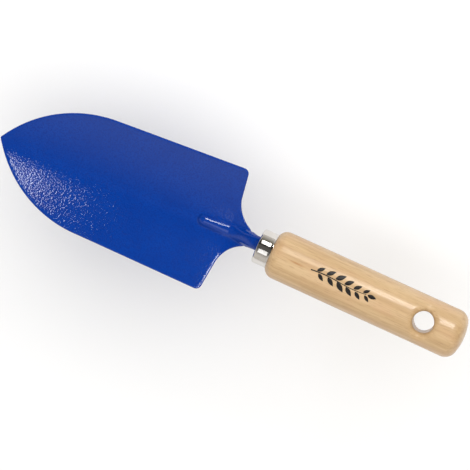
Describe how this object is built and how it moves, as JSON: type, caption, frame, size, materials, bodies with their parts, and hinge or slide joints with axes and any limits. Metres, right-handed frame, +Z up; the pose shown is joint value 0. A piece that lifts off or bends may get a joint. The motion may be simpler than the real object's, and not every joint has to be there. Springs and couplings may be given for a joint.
{
  "type": "hand trowel",
  "caption": "Garden hand trowel: a pointed, dished steel blade with a ribbed neck, a short bright ferrule and a round wooden handle with a hang hole.",
  "frame": {"origin": "centre of the hang hole, on the handle's axis", "axes": "+X along the handle's axis from the blade's tip to the handle's end, +Z up out of the blade's hollow side, along the hang hole"},
  "size_m": [0.2861, 0.0739, 0.0284],
  "materials": {
    "blue_powder_coat": "textured gloss",
    "bright_plating": "polished",
    "lacquered_wood": "clear lacquer"
  },
  "bodies": {
    "root": {"blade": "blue_powder_coat", "ferrule": "bright_plating", "handle": "lacquered_wood"}
  },
  "joints": []
}
